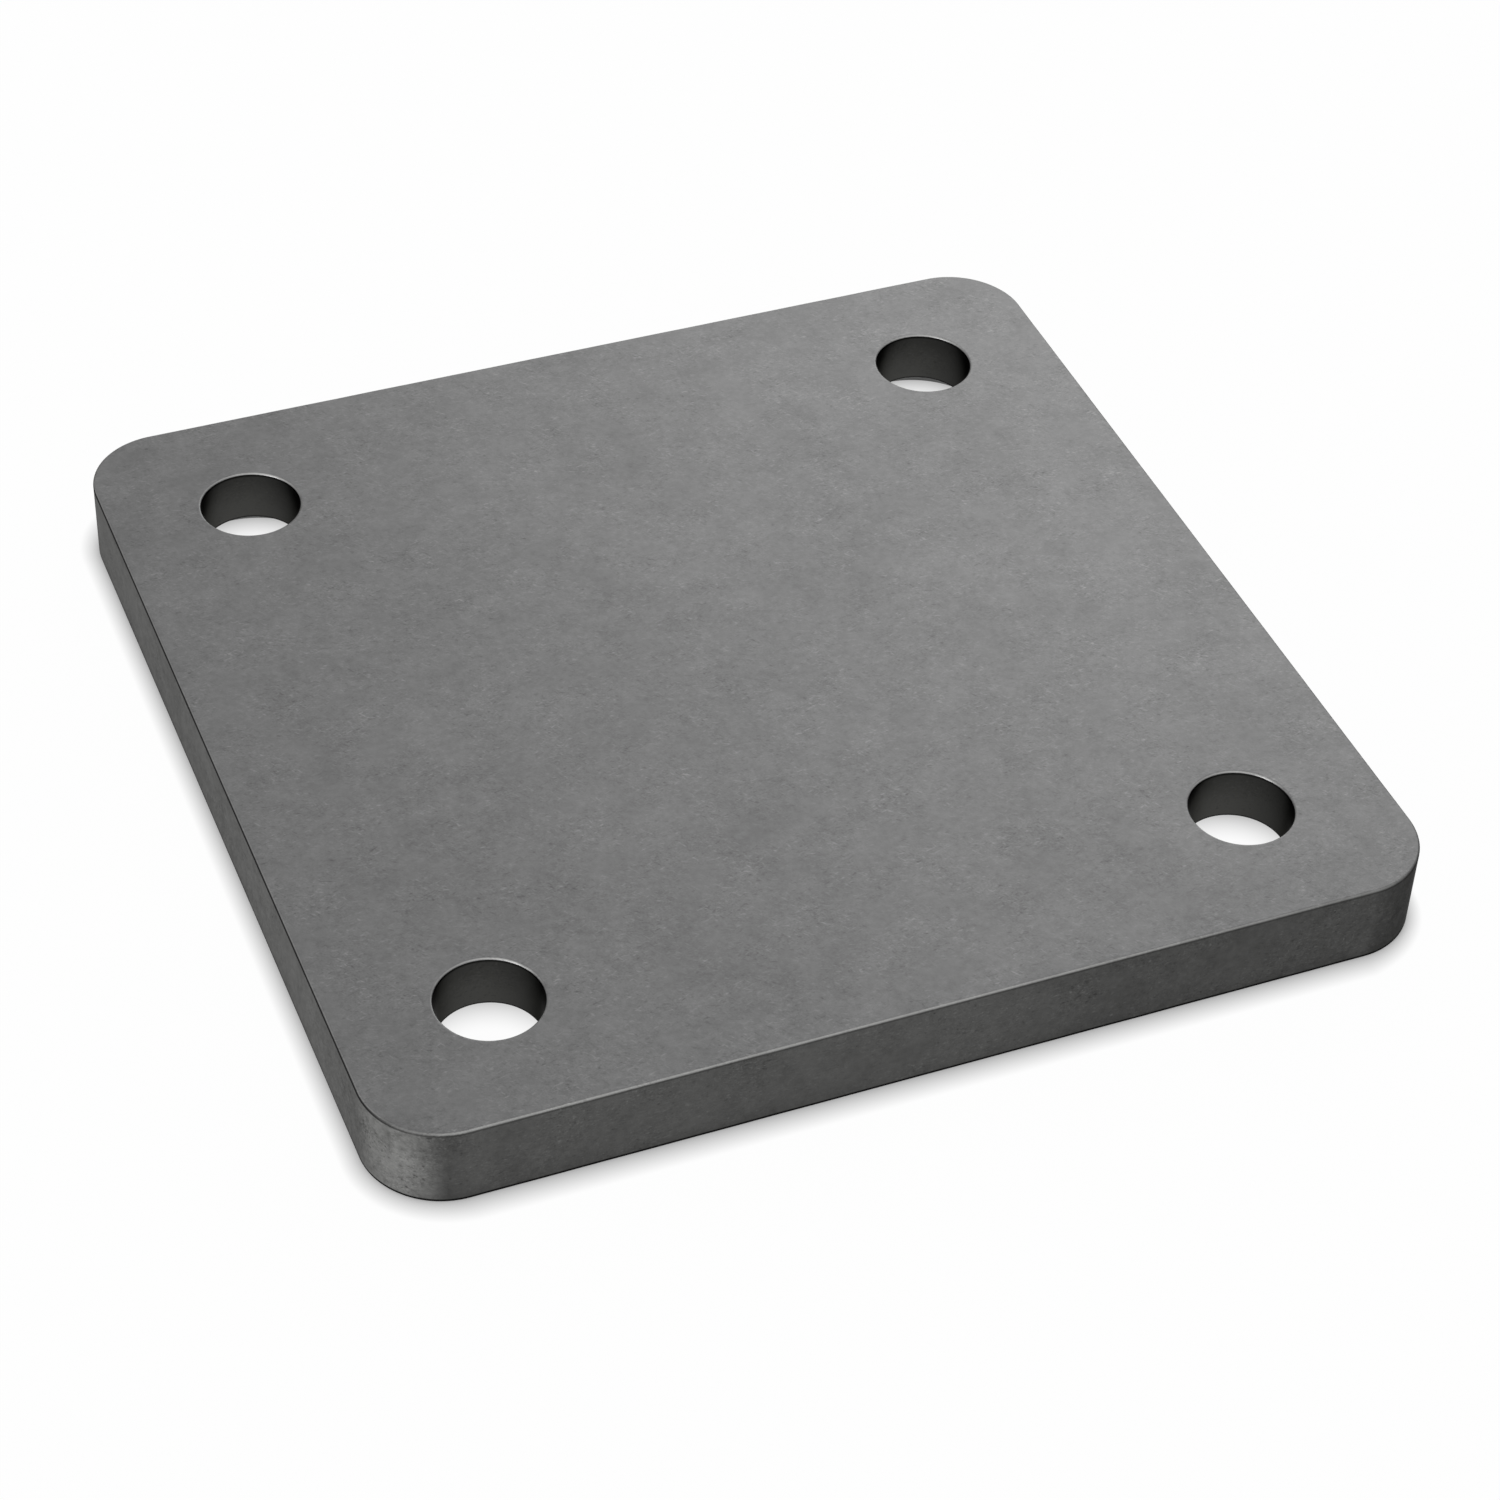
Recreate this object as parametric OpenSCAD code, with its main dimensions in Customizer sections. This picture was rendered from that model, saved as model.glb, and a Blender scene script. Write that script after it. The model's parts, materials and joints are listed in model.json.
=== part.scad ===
// Weld-on plate: a square of flat steel bar with round corners and a bolt hole
// near each corner, countersunk from the underside. The underside is the face
// that is welded, and the plate lies on it: the origin is at its centre, +Z up.

/* [Plate] */
// Side of the square, 4-1/2 in
plate_side = 114.3; // [100:0.1:160]
// Thickness of the stock, 3/8 in
plate_t = 9.525; // [8:0.005:16]
// Radius of the four corners, seen from above
corner_r = 8.5; // [4:0.1:12]
// Break along the upper and lower edges of the outline
edge_break = 0.3; // [0.1:0.05:0.8]

/* [Bolt holes] */
// Diameter of the straight bore, 7/16 in
hole_d = 11.1125; // [9:0.0125:13]
// Distance from each edge of the plate to the hole centres, 5/8 in
hole_edge = 15.875; // [13:0.125:24]
// Break round the upper mouth of each hole
hole_break = 0.2; // [0.1:0.05:0.6]

/* [Countersinks] */
// Diameter of the countersink at the underside, 3/4 in
sink_d = 19.05; // [16:0.05:21]
// Included angle of the countersink
sink_angle = 100; // [82:1:110]

/* [Hidden] */
steel = [0.47, 0.47, 0.46];

// Half the side, and the centres of the corners and holes along X and Y
half_side = plate_side / 2;
corner_at = half_side - corner_r;
hole_at = half_side - hole_edge;

// The cone narrows from the underside to the bore
hole_r = hole_d / 2;
sink_r = sink_d / 2;
sink_slope = tan(sink_angle / 2);
sink_depth = (sink_r - hole_r) / sink_slope;

// How far a cutter runs past the faces it cuts
overrun = 1;
round_fn = 96;

// Repeats its children at the four points that lie this far from both axes
module at_corners(reach) {
    for (x = [-reach, reach], y = [-reach, reach])
        translate([x, y, 0]) children();
}

// One arm of the cross inside the outline: full width along X, ending where
// the corners begin along Y
module arm() {
    rotate([90, 0, 0])
        linear_extrude(2 * corner_at, center = true)
            polygon([
                [half_side - edge_break, 0],
                [half_side, edge_break],
                [half_side, plate_t - edge_break],
                [half_side - edge_break, plate_t],
                [edge_break - half_side, plate_t],
                [-half_side, plate_t - edge_break],
                [-half_side, edge_break],
                [edge_break - half_side, 0]
            ]);
}

// The disc that rounds one corner, with the same broken edges
module corner_disc() {
    rotate_extrude($fn = round_fn)
        polygon([
            [0, 0],
            [corner_r - edge_break, 0],
            [corner_r, edge_break],
            [corner_r, plate_t - edge_break],
            [corner_r - edge_break, plate_t],
            [0, plate_t]
        ]);
}

// The plate before drilling
module blank() {
    union() {
        arm();
        rotate([0, 0, 90]) arm();
        at_corners(corner_at) corner_disc();
    }
}

// The space of one hole: countersink, straight bore and broken mouth
module hole_cutter() {
    rotate_extrude($fn = round_fn)
        polygon([
            [0, -overrun],
            [sink_r + overrun * sink_slope, -overrun],
            [hole_r, sink_depth],
            [hole_r, plate_t - hole_break],
            [hole_r + hole_break + overrun, plate_t + overrun],
            [0, plate_t + overrun]
        ]);
}

module plate() {
    color(steel)
        difference() {
            blank();
            at_corners(hole_at) hole_cutter();
        }
}

plate();
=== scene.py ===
import json
import math

import bmesh
import bpy
import numpy as np
from mathutils import Matrix, Vector


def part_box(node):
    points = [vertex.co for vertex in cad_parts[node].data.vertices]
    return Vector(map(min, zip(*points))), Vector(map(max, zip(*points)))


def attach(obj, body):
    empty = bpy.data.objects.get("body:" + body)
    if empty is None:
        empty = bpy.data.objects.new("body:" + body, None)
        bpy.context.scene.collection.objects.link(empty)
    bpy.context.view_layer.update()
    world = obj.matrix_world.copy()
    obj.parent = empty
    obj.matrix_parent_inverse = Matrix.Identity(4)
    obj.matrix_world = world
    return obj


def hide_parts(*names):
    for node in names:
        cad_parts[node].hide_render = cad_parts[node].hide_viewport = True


# A square steel plate with round corners and a countersunk bolt hole near each
# corner, lying on a white floor. Lengths are in metres and angles in degrees,
# unless a note says otherwise.

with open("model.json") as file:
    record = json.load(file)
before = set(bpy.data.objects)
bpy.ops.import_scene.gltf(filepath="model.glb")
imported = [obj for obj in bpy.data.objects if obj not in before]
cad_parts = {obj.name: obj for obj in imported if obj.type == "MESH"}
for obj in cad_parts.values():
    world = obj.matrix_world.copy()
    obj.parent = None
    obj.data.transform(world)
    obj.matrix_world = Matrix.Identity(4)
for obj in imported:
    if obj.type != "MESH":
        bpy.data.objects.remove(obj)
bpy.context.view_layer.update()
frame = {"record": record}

# measures of the plate, from the frame
millimetre = 0.001
plateLow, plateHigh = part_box("plate")
half, thick = plateHigh.x, plateHigh.z  # half of its side, and its thickness
mounts = {mount["name"]: mount for mount in frame["record"]["mounts"]}
hole = mounts["hole_back_right"]
holeAt = hole["pos_m"][0]  # from either middle line of the plate to the hole's axis
holeRadius = hole["dims"]["r_mm"] * millimetre
sinkHeight = hole["pos_m"][2] - hole["dims"]["length_mm"] * millimetre / 2  # top of the countersink
print("frame loaded, plate", [round(side, 6) for side in plateHigh - plateLow])


# Camera

cameraView = {
    "lens": 92.7,  # this and the sensor in mm
    "sensor": 36,
    "aim": (-0.0037, -0.0159),  # where the middle of the picture meets the top face
    "distance": 0.4058,
    "nearest": 0.01,
    "azimuth": -23.65,  # from the front towards the left
    "elevation": 41.76,
    "roll": 2.82,  # anticlockwise, as seen through the camera
}


def addCamera(view):
    azimuth, elevation = math.radians(view["azimuth"]), math.radians(view["elevation"])
    back = Vector((
        math.sin(azimuth) * math.cos(elevation),
        -math.cos(azimuth) * math.cos(elevation),
        math.sin(elevation),
    ))
    camera = bpy.data.objects.new("camera", bpy.data.cameras.new("camera"))
    camera.data.sensor_width = view["sensor"]
    camera.data.lens = view["lens"]
    camera.data.clip_start = view["nearest"]
    turn = (-back).to_track_quat("-Z", "Y").to_matrix()
    turn = turn @ Matrix.Rotation(math.radians(view["roll"]), 3, "Z")
    place = Vector((*view["aim"], plateHigh.z)) + back * view["distance"]
    camera.matrix_world = Matrix.Translation(place) @ turn.to_4x4()
    bpy.context.scene.collection.objects.link(camera)
    bpy.context.scene.camera = camera


addCamera(cameraView)
print("camera placed")


# Shader maths

class Wire:
    # A socket in a node tree, so that maths on it reads as an expression

    def __init__(self, paint, socket):
        self.paint, self.socket = paint, socket

    def apply(self, operation, first, second):
        return self.paint.node("ShaderNodeMath", {"operation": operation}, {0: first, 1: second})

    def __add__(self, other):
        return self.apply("ADD", self, other)

    def __sub__(self, other):
        return self.apply("SUBTRACT", self, other)

    def __rsub__(self, other):
        return self.apply("SUBTRACT", other, self)

    def __mul__(self, other):
        return self.apply("MULTIPLY", self, other)

    def __truediv__(self, other):
        return self.apply("DIVIDE", self, other)

    def __pow__(self, other):
        return self.apply("POWER", self, other)

    __radd__ = __add__
    __rmul__ = __mul__

    def pick(self, output):
        # another output of the same node
        return Wire(self.paint, self.socket.node.outputs[output])

    def atMost(self, other):
        return self.apply("MINIMUM", self, other)

    def atLeast(self, other):
        return self.apply("MAXIMUM", self, other)

    def isOver(self, other):
        # 1 where it is greater, else 0
        return self.apply("GREATER_THAN", self, other)

    def size(self):
        return self.apply("ABSOLUTE", self, 0)

    def squared(self):
        return self * self

    def root(self):
        return self.apply("SQRT", self, 0)


class Paint:
    # A material or world and its node tree

    def __init__(self, owner):
        self.owner = owner
        owner.use_nodes = True
        self.tree = owner.node_tree
        self.tree.nodes.clear()

    def node(self, kind, settings=None, sockets=None, output=0):
        made = self.tree.nodes.new(kind)
        for name, value in (settings or {}).items():
            if name == "stops":
                self.setStops(made.color_ramp.elements, value)
            else:
                setattr(made, name, value)
        for name, value in (sockets or {}).items():
            if isinstance(value, Wire):
                self.tree.links.new(value.socket, made.inputs[name])
            else:
                made.inputs[name].default_value = value
        return Wire(self, made.outputs[output]) if made.outputs else made

    def setStops(self, elements, stops):
        while len(elements) < len(stops):
            elements.new(1.0)
        for element, (place, level) in zip(elements, stops):
            element.position = place
            element.color = (level, level, level, 1)

    def place(self):
        return self.node("ShaderNodeTexCoord", {}, {}, "Object")

    def attribute(self, name):
        return self.node("ShaderNodeAttribute", {"attribute_name": name}, {}, "Fac")

    def noise(self, coordinates, size, detail=2.0):
        # a soft mottle round 0 whose patches are about this size across
        middle = 0.5
        sockets = {"Vector": coordinates, "Scale": 1 / size, "Detail": detail}
        return self.node("ShaderNodeTexNoise", {}, sockets) - middle

    def mixColours(self, factor, first, second):
        # inputs 6 and 7 are the two colours, output 2 the mixed one
        first, second = (value if isinstance(value, Wire) else (*value, 1) for value in (first, second))
        return self.node("ShaderNodeMix", {"data_type": "RGBA"}, {0: factor, 6: first, 7: second}, 2)

    def directView(self):
        # 1 for what the camera sees by itself, in a gloss or through glass, else 0
        rays = self.node("ShaderNodeLightPath", {}, {}, "Is Camera Ray")
        return (rays + rays.pick("Is Glossy Ray") + rays.pick("Is Transmission Ray")).atMost(1)


# Steel of the plate

steelFinish = {
    "faceColours": ((0.086, 0.086, 0.086), (0.196, 0.196, 0.196)),  # darkest and lightest
    "cutColours": ((0.049, 0.049, 0.048), (0.147, 0.147, 0.144)),
    # the darkest and lightest painted shade in the holes
    "boreShadeColours": ((0.012, 0.012, 0.0115), (0.056, 0.056, 0.053)),
    "shadeMiddle": 0.45,  # where the steel lies between the two by itself
    "cutShade": 0.9,  # how strong the grain is on the cut sides
    # the colours of the painted highlight on the front left corner and of the worn edges
    #  with their painted highlight, each with how much of it shows there, and how much more in the lighter
    #  grain
    "cornerHighlight": ((0.190, 0.190, 0.186), 0.70, 2.0),
    "wearAndHighlight": ((0.420, 0.420, 0.415), 0.92, 0.7),
    "paintedShadeColour": (0.012, 0.012, 0.012),  # painted shade: dark lines along the edges, at the foot and down the holes
    "edgeTint": (0.40, 0.40, 0.40),  # how bright the steel is at a grazing angle
    "faceRoughness": 0.40,
    "cutRoughness": 0.60,
    "boreRoughness": 0.32,
    "wearAndHighlightRoughness": 0.28,  # added along the worn edges with their painted highlight
    "mottleRoughness": 0.10,  # how far the mottle moves it
    "bump": {"Strength": 0.25, "Distance": 0.00004},
    "bumpShares": {"grain": 0.4, "mottle": 0.6},
    # patches of the shade: width, and share of the way between the two colours
    "layers": {
        "grain": (0.00022, 0.36),
        "mottle": (0.0007, 0.38),
        "stain": (0.0028, 0.35),
        "cloud": (0.014, 0.26),
    },
    "marks": {
        "width": 0.00024,
        "stretch": 3.0,  # how many times longer than wide
        "past": 0.19,  # how far the noise is from its middle where they begin
        "light": 1.40,
        "dark": 1.06,
        "turns": (-0.34, 0.25, -0.95),  # in radians
    },
    # where grain and marks are stronger or fainter: width, how much, and the least
    "patches": (0.005, 3.4, 0.2),
    # painted shade down the hole: black just under the mouth, lighter towards the foot of the wall,
    #  then dark at the foot and over the countersink; the wall takes up the first half, and the
    #  countersink the rest
    "boreShadeStops": ((0.0, 0.0), (0.010, 0.0), (0.025, 0.66), (0.20, 0.82), (0.48, 1.05), (0.49, 0.2)),
}

# What each point of the plate's mesh says of its surface: cut side or face,
#  wall of a hole with its painted shade and the depth there, worn edge with its
#  painted highlight, painted dark lines of shade, painted shade on the sides,
#  and the painted highlight on the front left corner.
finishNames = ("cutFinish", "boreFinish", "boreDepth", "edgeWear", "edgeLine", "sideDull", "cornerRub")


def steelShade(paint, layers, finish):
    # The grain's shade round 0: the sum of its layers, of which the finest also
    # has short light and dark marks and is stronger in some patches.
    parts = {name: layers[name] * share for name, (width, share) in finish["layers"].items()}
    marks, fine = finish["marks"], parts.pop("grain")
    for turn in marks["turns"]:
        sockets = {"Vector": paint.place(), "Rotation": (0, 0, turn), "Scale": (marks["stretch"], 1, 1)}
        turned = paint.node("ShaderNodeMapping", {"vector_type": "TEXTURE"}, sockets)
        noise = paint.noise(turned, marks["width"], 0.0)
        light = (noise - marks["past"]).atLeast(0) * marks["light"]
        dark = (-marks["past"] - noise).atLeast(0) * marks["dark"]
        fine = fine + light - dark
    width, depth, least = finish["patches"]
    uneven = (paint.noise(paint.place(), width) * depth + 1).atLeast(least)
    return sum(parts.values(), fine * uneven)


def steelMaterial(finish):
    paint = Paint(bpy.data.materials.new("dullSteel"))
    cut, bore, depth, wearAndHighlight, line, paintedShade, cornerHighlight = (paint.attribute(name) for name in finishNames)
    layers = {name: paint.noise(paint.place(), width) for name, (width, share) in finish["layers"].items()}
    shade = steelShade(paint, layers, finish) * (1 + cut * (finish["cutShade"] - 1))

    face = paint.mixColours(shade + finish["shadeMiddle"], *finish["faceColours"])
    # painted shade darkens the rounded corners and the right part of the front side
    side = paint.mixColours(shade + finish["shadeMiddle"] - paintedShade, *finish["cutColours"])
    cornerHighlightColour, share, more = finish["cornerHighlight"]
    # painted highlight on the front left corner
    side = paint.mixColours(cornerHighlight * (share + shade * more), side, cornerHighlightColour)
    wholeDepth = 2
    # painted shade down the holes
    ramp = paint.node("ShaderNodeValToRGB", {"stops": finish["boreShadeStops"]}, {"Fac": depth / wholeDepth})
    wall = paint.mixColours(ramp * (1 + shade), *finish["boreShadeColours"])
    colour = paint.mixColours(cut, face, side)
    colour = paint.mixColours(bore, colour, wall)
    wearAndHighlightColour, share, more = finish["wearAndHighlight"]
    # wear and painted highlight along the upper edges and round the mouths
    colour = paint.mixColours(wearAndHighlight * (share + shade * more), colour, wearAndHighlightColour)
    # painted shade in dark lines
    colour = paint.mixColours(line, colour, finish["paintedShadeColour"])

    roughness = finish["faceRoughness"] + cut * (finish["cutRoughness"] - finish["faceRoughness"])
    roughness = roughness + bore * (finish["boreRoughness"] - finish["faceRoughness"])
    roughness = roughness + wearAndHighlight * finish["wearAndHighlightRoughness"] + layers["mottle"] * finish["mottleRoughness"]
    height = sum(layers[name] * share for name, share in finish["bumpShares"].items())
    shader = paint.node("ShaderNodeBsdfPrincipled", {}, {
        "Base Color": colour,
        "Metallic": 1,
        "Specular Tint": (*finish["edgeTint"], 1),
        "Roughness": roughness,
        "Normal": paint.node("ShaderNodeBump", {}, {**finish["bump"], "Height": height}),
    })
    paint.node("ShaderNodeOutputMaterial", {}, {"Surface": shader})
    return paint.owner


# The plate

plateShape = {
    "cornerRadius": 0.0085,
    "edgeRadius": 0.00024,  # round of the broken edges of the outline
    "edgeWander": 0.08,  # share of that radius by which it comes and goes
    "wanderLength": 0.009,
    "mouthRadius": 0.00022,  # round of the upper mouth of each hole
    "sinkRadius": 0.009525,  # countersink at the underside
    "crest": 1.5,  # how wide the band of wear and painted highlight on a round is: past 1 its middle is all of it
    "wearAndHighlightBySide": {"front": 1.0, "right": 0.1, "back": 0.5, "left": 0.35},  # wear and painted highlight of the upper edges, strongest on the front
    "highlightFade": (0.012, 0.045, 0.7),  # the painted highlight fading along the front edge: from where, over what, how much
    "mouthWearAndHighlight": (0.12, 1.05),  # wear and painted highlight round each mouth: least, and most on the side of the hole given next
    "mouthHighlightSide": (0.34, 0.94),
    "highlightMiddle": (-0.829, -0.559),  # the way that the painted highlight on the corner faces
    "highlightReach": (14, 41),  # angle to either side where it is whole, and where it ends
    # painted shade in dark lines, as shares: along the upper edge of each side, just
    #  under the worn edge, where the plate meets the floor, and down the wall of each hole
    "edgeShade": {"front": 0.0, "right": 0.8, "back": 0.4, "left": 0.96},
    "underShade": 0.35,
    "footShade": 1.0,
    "wallShade": {"front": 0.0, "right": 0.62, "back": 0.05, "left": 0.12},
    "lineWidth": 0.00012,
    # the first two begin on the round, where the sine of its bend passes these
    # values, and grow as fast as the last one says
    "lineStart": {"edgeShade": 1 / 2, "underShade": 2 / 3, "rise": 3},
    "cornerShade": (0.33, 0.7),  # painted shade on the rounded corners: how much darker, and its curve
    "frontShade": (0.004, 0.018, 0.15),  # painted shade along the front side: from where, over what, how much
    # how narrowly a share keeps to the sides that face its way, as a power
    "narrow": {"wearAndHighlightBySide": 6, "edgeShade": 1, "frontShade": 8},
    "spokes": 288,  # steps round each hole
    "faceRings": 12,  # steps from a hole to the outline
    "guard": 0.0001,  # width of the narrow steps at the ends of a face or wall
    "roundSteps": 6,
    "wallSteps": 8,
    "mergeWithin": 0.000001,
    "sharpAngle": 35,
}


def softWander(x, y, length):
    # a smooth value from -1 to 1: the mean of three sine waves that run in
    # different directions, each with its own wavelength near the given length
    waves = ((1.0, 0.31, 1.0), (-0.57, 1.13, 2.1), (0.83, -0.94, 4.4))
    total = sum(np.sin(2 * np.pi * (a * x + b * y) / length + shift) for a, b, shift in waves)
    return total / len(waves)


def growth(place, start, length):
    # 0 up to the start, then evenly up to 1 over the length
    return np.clip((place - start) / length, 0, 1)


def shareBySide(shares, normal, power):
    # each side's share, weighted by a power of the normal's part that faces it
    facing = {"right": normal[0], "left": -normal[0], "back": normal[1], "front": -normal[1]}
    return sum(share * np.maximum(facing[name], 0)**power for name, share in shares.items())


def layQuarter(shape):
    # A quarter of the plate is laid out by spokes from its hole's centre, one
    # angle each. Gives the way that each spoke points, its end on the quarter's
    # border, the way that the outline faces there, and whether it is the outline.
    cornerAt = half - shape["cornerRadius"]

    # even steps counted from the diagonal, the nearest ones moved onto the ends
    # of the border and of the round corner
    ends = [(half, 0), (half, cornerAt), (cornerAt, half), (0, half), (0, 0)]
    ends = [math.atan2(y - holeAt, x - holeAt) for x, y in ends]
    angles = math.pi / 4 + np.arange(shape["spokes"]) * (2 * math.pi / shape["spokes"])
    angles = (angles - ends[0]) % (2 * math.pi)
    for end in ends:
        end = (end - ends[0]) % (2 * math.pi)
        angles[np.argmin(np.abs(angles - end))] = end
    angles = np.sort(angles)
    onOutline = np.arange(angles.size) <= np.argmin(np.abs(angles - (ends[3] - ends[0])))
    direction = np.stack([np.cos(angles + ends[0]), np.sin(angles + ends[0])])

    # how far each spoke goes: to the nearest of the quarter's four straight
    # sides, or to the corner's arc where that point lies past the arc's ends
    with np.errstate(divide="ignore"):
        outward = np.where(direction > 0, (half - holeAt) / direction, np.inf)
        inward = np.where(direction < 0, -holeAt / direction, np.inf)
    reach = np.minimum(outward, inward).min(axis=0)
    past = np.all(holeAt + direction * reach > cornerAt, axis=0)
    offset = holeAt - cornerAt
    lean = offset * direction.sum(axis=0)
    arc = -lean + np.sqrt(np.maximum(lean**2 - 2 * offset**2 + shape["cornerRadius"]**2, 0))
    border = holeAt + direction * np.where(past, arc, reach)
    outwards = np.maximum(border - cornerAt, 0) / shape["cornerRadius"]
    return {"direction": direction, "border": border, "outwards": outwards, "onOutline": onOutline}


def edgeRadiusAt(turn, border, shape):
    # the round of the outline's edges, which comes and goes a little along them
    wander = softWander(*(turn @ border), shape["wanderLength"])
    return shape["edgeRadius"] * (1 + shape["edgeWander"] * wander)


def surface(turn, plane, height, **finish):
    # One grid: rows of the surface's second parameter, columns of the spokes, and
    # as layers x, y, z and the finishes. The plane's x and y are turned to their
    # quarter, and a finish that isn't given is 0.
    x, y = np.einsum("ij,jvu->ivu", turn, plane)
    layers = [x, y, height] + [finish.get(name, 0) for name in finishNames]
    return np.stack([np.broadcast_to(layer, x.shape) for layer in layers], axis=-1)


def faceSurfaces(turn, quarter, shape):
    # Both faces: a straight run along each spoke from the hole to the rim, with a
    # narrow ring at either end that keeps the shading of the rounds off the flat.
    # There the lower face takes the painted shade of the countersink and the painted dark line of the
    # foot.
    direction, border = quarter["direction"], quarter["border"]
    rim = border - quarter["outwards"] * edgeRadiusAt(turn, border, shape)
    grids = []
    for mouth, height in ((holeRadius + shape["mouthRadius"], thick), (shape["sinkRadius"], 0)):
        inner = holeAt + direction * mouth
        narrow = shape["guard"] / np.hypot(*(rim - inner))
        steps = [step + 0 * narrow for step in np.linspace(0, 1, shape["faceRings"] + 1)]
        run = np.stack([steps[0], narrow, *steps[1:-1], 1 - narrow, steps[-1]])
        plane = inner[:, None, :] + (rim - inner)[:, None, :] * run
        isLower = height == 0
        sink, foot = isLower * (run == 0), isLower * (run == 1) * quarter["onOutline"]
        grid = surface(
            turn, plane, height, boreFinish=sink, boreDepth=2 * sink, edgeLine=foot * shape["footShade"],
        )
        grids.append((grid, not isLower, True))
    return grids


def roundAndWall(shape):
    # the bend of a round, from the face at 0 to the wall at a quarter turn, the
    #  band of wear and painted highlight on it, and even steps down a wall without the first
    bend = np.linspace(0, np.pi / 2, shape["roundSteps"] + 1)
    crest = np.minimum(shape["crest"] * np.sin(2 * bend)**2, 1)
    return bend, crest, np.linspace(0, 1, shape["wallSteps"] + 1)[1:]


def holeSurface(turn, quarter, shape):
    # A hole, turned round its axis from a profile: a quarter circle round the
    # mouth, a straight run down the wall, and a straight run out along the
    # countersink. The depth goes from 0 to 1 down the wall and to 2 at the underside.
    bend, crest, down = roundAndWall(shape)
    mouth = shape["mouthRadius"]
    wallTop = thick - mouth
    wall = np.concatenate([[shape["guard"] / (wallTop - sinkHeight)], down])
    radii = np.concatenate([
        holeRadius + mouth * (1 - np.sin(bend)),
        np.full(wall.size, holeRadius),
        holeRadius + (shape["sinkRadius"] - holeRadius) * down,
    ])[:, None]
    heights = np.concatenate([
        thick - mouth * (1 - np.cos(bend)),
        wallTop + (sinkHeight - wallTop) * wall,
        sinkHeight * (1 - down),
    ])[:, None]

    direction = quarter["direction"]
    turned = turn @ direction
    # wear and painted highlight round the mouth, strongest towards one side of each hole
    least, most = shape["mouthWearAndHighlight"]
    toSide = np.maximum(np.array(shape["mouthHighlightSide"]) @ turned, 0)**2
    wearAndHighlight = np.concatenate([crest, 0 * wall, 0 * down])[:, None] * (least + (most - least) * toSide)
    # painted shade down the wall of each hole, strongest on its right
    onWall = np.concatenate([0 * bend, 1 + 0 * wall, 0 * down])[:, None]
    grid = surface(
        turn, holeAt + direction[:, None, :] * radii, heights,
        boreFinish=np.minimum((thick - heights) / mouth, 1),
        boreDepth=np.concatenate([0 * bend, wall, 1 + down])[:, None],
        edgeWear=wearAndHighlight,
        edgeLine=onWall * shareBySide(shape["wallShade"], turned, 2),
    )
    return grid, False, True


def sideSurface(turn, quarter, shape):
    # The side of the outline, a profile carried along the border: a quarter
    #  circle, a straight run down and a quarter circle back. The run has two
    #  narrow rows at either end, which bound the painted dark lines of shade there.
    onOutline = quarter["onOutline"]
    border, normal = quarter["border"][:, onOutline], quarter["outwards"][:, onOutline]
    radius = edgeRadiusAt(turn, border, shape)
    bend, crest, down = roundAndWall(shape)
    upper = radius * (1 - np.cos(bend))[:, None]
    inset = radius * (1 - np.sin(bend))[:, None]
    margins = shape["lineWidth"] * np.array([1, 2])
    between = (thick - 2 * radius - 2 * margins[-1]) * (1 - down[:-1, None])
    flat = np.concatenate([
        thick - radius - margins[:, None],
        radius + margins[-1] + between,
        radius + margins[::-1, None],
    ])
    heights = np.concatenate([thick - upper, flat, upper[::-1]])
    insets = np.concatenate([inset, np.zeros_like(flat), inset[::-1]])
    plane = border[:, None, :] - normal[:, None, :] * insets

    # where each finish, painted shade and painted highlight is from top to bottom, as columns
    level = np.zeros(len(flat))
    firstRow, lastRow = level.copy(), level.copy()
    firstRow[0] = lastRow[-1] = 1
    start = shape["lineStart"]
    lines = {}
    for name in ("edgeShade", "underShade"):
        onRound = growth(np.sin(bend), start[name], 1 / start["rise"])
        lines[name] = np.concatenate([onRound, firstRow, 0 * bend])[:, None]
    foot = np.concatenate([0 * bend, lastRow, 1 + 0 * bend])[:, None]
    cut = np.sin(np.concatenate([bend, level + np.pi / 2, bend[::-1]]))[:, None]
    wearAndHighlightBand = np.concatenate([crest, level, 0 * bend])[:, None]

    # and how strong it is along the border
    along, facing = turn @ border, turn @ normal
    power = shape["narrow"]
    # wear and painted highlight of the upper edges, with the painted highlight fading along the front
    fadeStart, fadeLength, fade = shape["highlightFade"]
    front = shape["wearAndHighlightBySide"]["front"] * (1 - fade * growth(along[0], fadeStart, fadeLength))
    wearAndHighlight = wearAndHighlightBand * shareBySide({**shape["wearAndHighlightBySide"], "front": front}, facing, power["wearAndHighlightBySide"])
    # painted shade in dark lines: under the worn edge, at the foot and along the upper edge
    line = np.maximum(lines["underShade"] * shape["underShade"], foot * shape["footShade"])
    black = shareBySide(shape["edgeShade"], facing, power["edgeShade"])
    line = np.maximum(line, lines["edgeShade"] * black)
    # painted shade: darker along the right part of the front side and on the rounded corners
    shadeStart, shadeLength, shadeMost = shape["frontShade"]
    paintedShade = shadeMost * growth(along[0], shadeStart, shadeLength)
    paintedShade = paintedShade * np.maximum(-facing[1], 0)**power["frontShade"]
    cornerMost, cornerPower = shape["cornerShade"]
    paintedShade = paintedShade + cornerMost * np.abs(2 * facing[0] * facing[1])**cornerPower
    # painted highlight on the front left corner
    whole, ended = np.cos(np.radians(shape["highlightReach"]))
    cornerHighlight = growth(np.array(shape["highlightMiddle"]) @ facing, ended, whole - ended)
    grid = surface(
        turn, plane, heights, cutFinish=cut, edgeWear=wearAndHighlight, edgeLine=line, sideDull=paintedShade, cornerRub=cornerHighlight,
    )
    return grid, True, False


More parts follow.
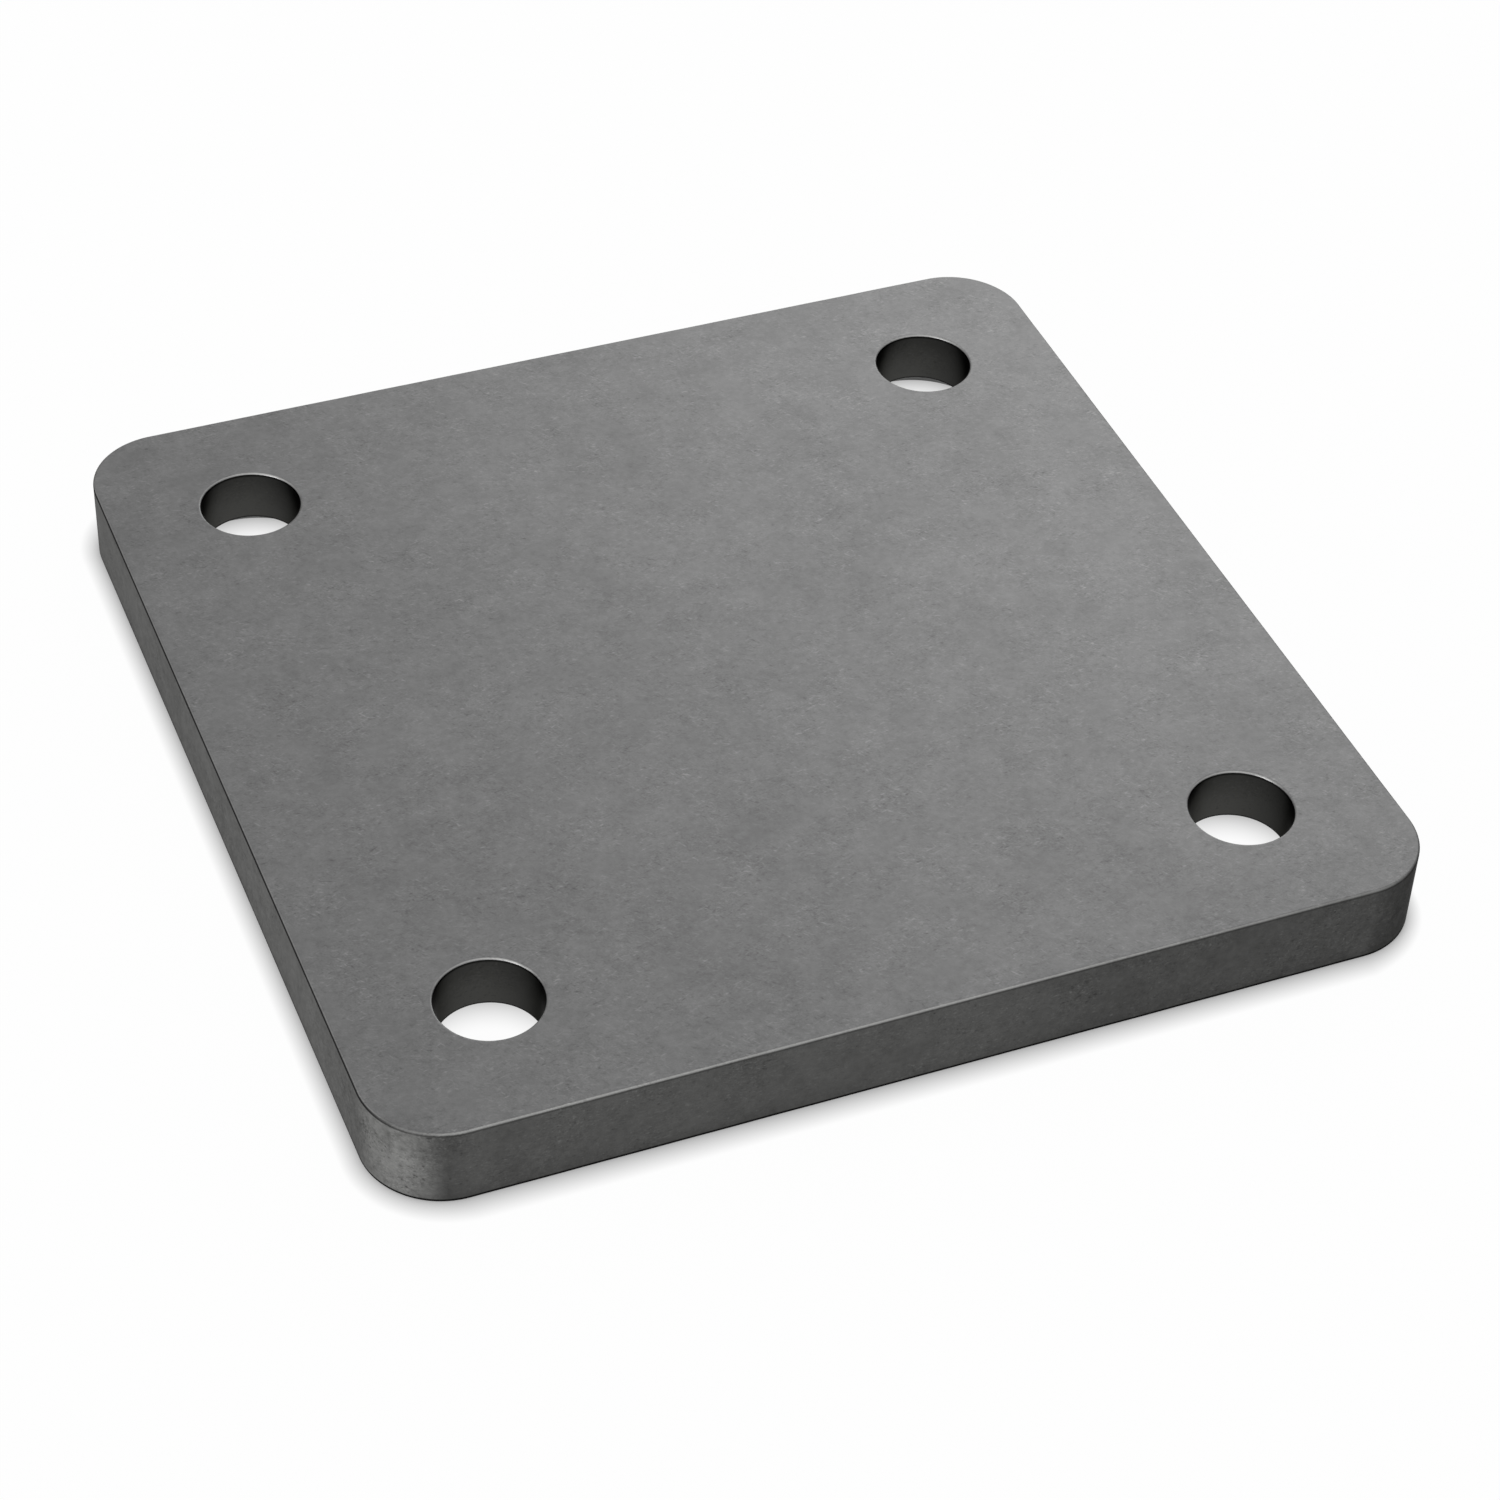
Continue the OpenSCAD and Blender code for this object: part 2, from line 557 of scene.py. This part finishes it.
def plateGrids(shape):
    # The plate is four equal quarters round its middle. Each grid comes with
    # whether it is flipped, and whether it wraps round.
    quarter = layQuarter(shape)
    quarterTurn = np.array([[0, -1], [1, 0]])
    turn = np.eye(2)
    grids = []
    for step in range(4):
        grids += faceSurfaces(turn, quarter, shape)
        grids += [holeSurface(turn, quarter, shape), sideSurface(turn, quarter, shape)]
        turn = quarterTurn @ turn
    return grids


def joinGrids(grids):
    # one mesh from all the grids: each cell is a quad, its corners counted the
    # other way round where the grid is flipped, and closed grids wrap round
    points, quads, start = [], [], 0
    for values, flipped, closed in grids:
        rows, columns = values.shape[:2]
        index = start + np.arange(rows * columns).reshape(rows, columns)
        if closed:
            index = np.concatenate([index, index[:, :1]], axis=1)
        corners = [index[:-1, :-1], index[:-1, 1:], index[1:, 1:], index[1:, :-1]]
        if flipped:
            corners.reverse()
        quads.append(np.stack(corners, axis=-1).reshape(-1, 4))
        points.append(values.reshape(rows * columns, -1))
        start += rows * columns
    return np.concatenate(points), np.concatenate(quads)


def plateMesh(shape):
    points, quads = joinGrids(plateGrids(shape))
    mesh = bpy.data.meshes.new("steelPlate")
    mesh.from_pydata(points[:, :3], [], quads)
    for column, name in enumerate(finishNames, 3):
        layer = mesh.attributes.new(name, "FLOAT", "POINT")
        layer.data.foreach_set("value", np.ascontiguousarray(points[:, column], dtype=np.float32))
    form = bmesh.new()
    form.from_mesh(mesh)
    bmesh.ops.remove_doubles(form, verts=form.verts, dist=shape["mergeWithin"])
    form.to_mesh(mesh)
    form.free()
    mesh.polygons.foreach_set("use_smooth", np.ones(len(mesh.polygons), dtype=bool))
    mesh.set_sharp_from_angle(angle=math.radians(shape["sharpAngle"]))
    return mesh


def countOpenEdges(mesh):
    edges = np.empty(len(mesh.loops), dtype=np.int32)
    mesh.loops.foreach_get("edge_index", edges)
    return np.count_nonzero(np.bincount(edges) != 2)


def buildPlate(shape, finish):
    mesh = plateMesh(shape)
    mesh.materials.append(steelMaterial(finish))
    plate = bpy.data.objects.new("steelPlate", mesh)
    bpy.context.scene.collection.objects.link(plate)
    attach(plate, "root")
    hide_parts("plate")
    print("plate built,", len(mesh.polygons), "faces,", countOpenEdges(mesh), "open edges")


buildPlate(plateShape, steelFinish)


# Floor

floorPlan = {
    "reach": 3.0,
    "gap": 0.00002,  # below the plate, so that the two don't share a plane
    "colour": (0.85, 0.85, 0.85),
    # share of white that the floor shows by itself, in the open and inside a hole:
    #  the most, how much less of it there is right by the steel, which paints a contact
    #  shadow there, the width over which that is made up, and the power of the curve in between
    "open": (0.981, 0.70, 0.0029, 1.1),
    "hole": (0.975, 0.50, 0.0047, 1.6),
    "besideLeft": 1.4,  # how many times sooner the painted shadow is made up beside the left side
    "besideRight": 2.2,
}


def shareOfWhite(distance, most, drop, width, power):
    # least where the distance is 0, then up to the most along a curve
    short = (1 - distance / width).atLeast(0).atMost(1)
    return most - short**power * drop


def floorMaterial(plan):
    paint = Paint(bpy.data.materials.new("floor"))
    split = paint.node("ShaderNodeSeparateXYZ", {}, {"Vector": paint.place()})
    x, y = split.size(), split.pick("Y").size()

    # distance from the rounded outline, and from the foot of the nearest countersink
    radius = plateShape["cornerRadius"]
    beyondX, beyondY = (x - (half - radius)).atLeast(0), (y - (half - radius)).atLeast(0)
    outside = (beyondX.squared() + beyondY.squared()).root() - radius
    inside = plateShape["sinkRadius"] - ((x - holeAt).squared() + (y - holeAt).squared()).root()

    # the distance counts for more beside the left and right sides than before and behind, so the painted
    # shadow is narrower there
    sooner = plan["besideLeft"] + split.isOver(0) * (plan["besideRight"] - plan["besideLeft"])
    beside = beyondX / (beyondX + beyondY)
    outside = outside * (1 + beside * (sooner - 1))
    inHole = inside.isOver(0)
    # less white right by the steel: a painted contact shadow round the plate and inside each hole
    share = shareOfWhite(outside, *plan["open"]) * (1 - inHole)
    share = share + shareOfWhite(inside, *plan["hole"]) * inHole

    plain = paint.node("ShaderNodeBsdfDiffuse", {}, {"Color": (*plan["colour"], 1)})
    white = paint.node("ShaderNodeEmission", {}, {"Color": (1, 1, 1, 1), "Strength": 1})
    mixed = paint.node("ShaderNodeMixShader", {}, {0: share * paint.directView(), 1: plain, 2: white})
    paint.node("ShaderNodeOutputMaterial", {}, {"Surface": mixed})
    return paint.owner


def addFloor(plan):
    reach, level = plan["reach"], plateLow.z - plan["gap"]
    around = ((-1, -1), (1, -1), (1, 1), (-1, 1))
    mesh = bpy.data.meshes.new("floor")
    mesh.from_pydata([(x * reach, y * reach, level) for x, y in around], [], [(0, 1, 2, 3)])
    mesh.materials.append(floorMaterial(plan))
    floor = bpy.data.objects.new("floor", mesh)
    bpy.context.scene.collection.objects.link(floor)


addFloor(floorPlan)
print("floor laid")


# Light

studio = {
    "worldLevel": 0.45,
    # name: size, power and place of each lamp, which aims at the plate
    "lamps": {
        "keyRight": (0.5, 1.18, (0.735, 0.735, 0.60)),
        "keyBack": (0.5, 0.35, (0.355, 0.977, 0.60)),
        "low": (0.4, 0.9, (0.35, 0.60, 0.30)),
        "strip": (0.1, 8.4, (-0.898, -0.438, 0.052)),
    },
}


def addWorld(level):
    # even light from all round, seen as white
    paint = Paint(bpy.context.scene.world or bpy.data.worlds.new("world"))
    bpy.context.scene.world = paint.owner
    strength = level + paint.directView() * (1 - level)
    sky = paint.node("ShaderNodeBackground", {}, {"Color": (1, 1, 1, 1), "Strength": strength})
    paint.node("ShaderNodeOutputWorld", {}, {"Surface": sky})


def addLamps(lamps):
    for name, (size, power, place) in lamps.items():
        lamp = bpy.data.objects.new(name, bpy.data.lights.new(name, "AREA"))
        lamp.data.shape = "SQUARE"
        lamp.data.size = size
        lamp.data.energy = power
        lamp.location = place
        lamp.rotation_mode = "QUATERNION"
        lamp.rotation_quaternion = (-Vector(place)).to_track_quat("-Z", "Y")
        bpy.context.scene.collection.objects.link(lamp)


addWorld(studio["worldLevel"])
addLamps(studio["lamps"])
bpy.context.scene.view_settings.view_transform = "Standard"
print("studio lit")


print("scene built")
